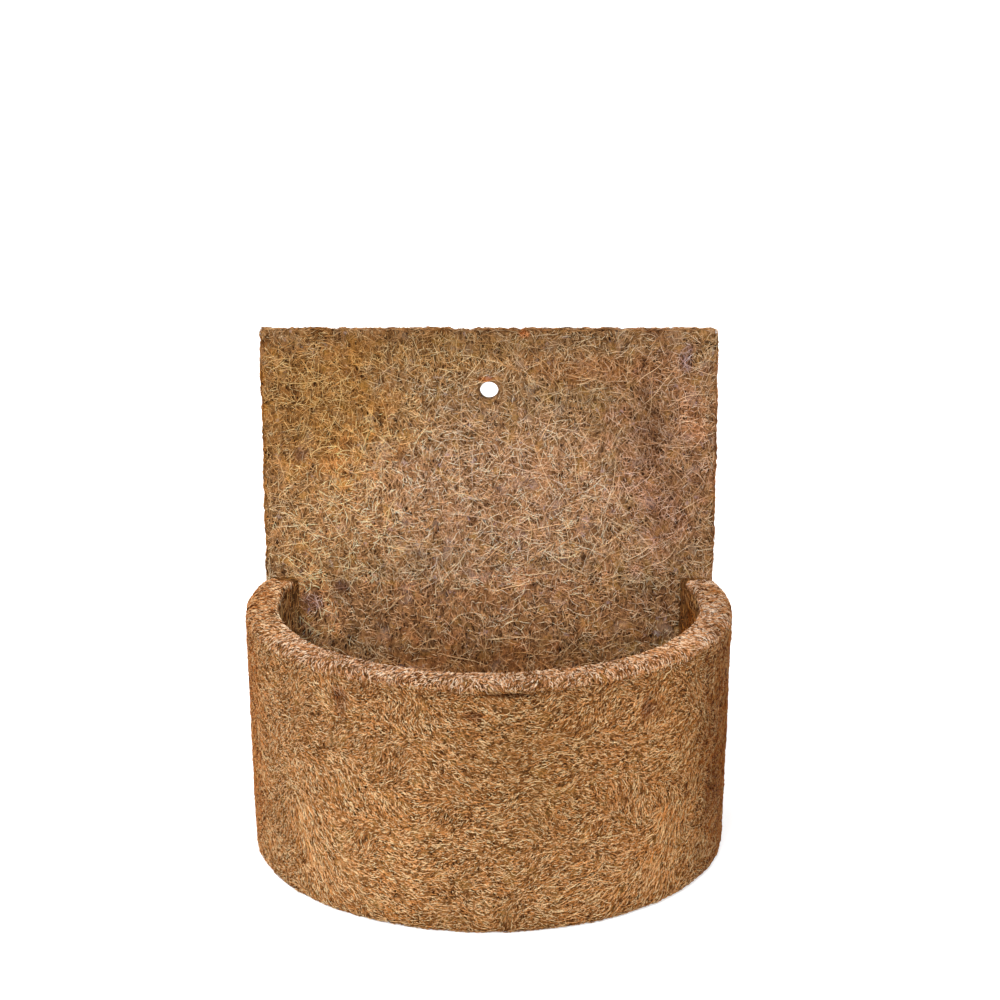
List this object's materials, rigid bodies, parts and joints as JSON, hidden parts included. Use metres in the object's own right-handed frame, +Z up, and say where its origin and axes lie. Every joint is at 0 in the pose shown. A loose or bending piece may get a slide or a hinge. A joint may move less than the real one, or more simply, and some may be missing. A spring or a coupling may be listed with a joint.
{
  "type": "wall planter",
  "caption": "Wall-hung planter of coconut-fibre felt: a flat rectangular back panel with a hanging hole, and a D-shaped open bowl with a thick rim on its lower half.",
  "frame": {"origin": "centre of the hanging hole on the back panel's rear face, which lies on the wall", "axes": "+Z up, +X to the right as seen from the front, +Y into the wall; the bowl reaches towards -Y"},
  "size_m": [0.2626, 0.1785, 0.279],
  "materials": {
    "panel_felt": "matted coconut fibre with long pale straws, matt",
    "bowl_felt": "dense curly coconut fibre bonded with latex, matt",
    "latex": "cured natural rubber latex, dull"
  },
  "bodies": {
    "root": {"back_panel": "panel_felt", "bowl_wall": "bowl_felt", "bowl_base": "bowl_felt", "left_wall_bond": "latex", "right_wall_bond": "latex", "base_rim_bond": "latex", "base_back_bond": "latex"}
  },
  "joints": []
}
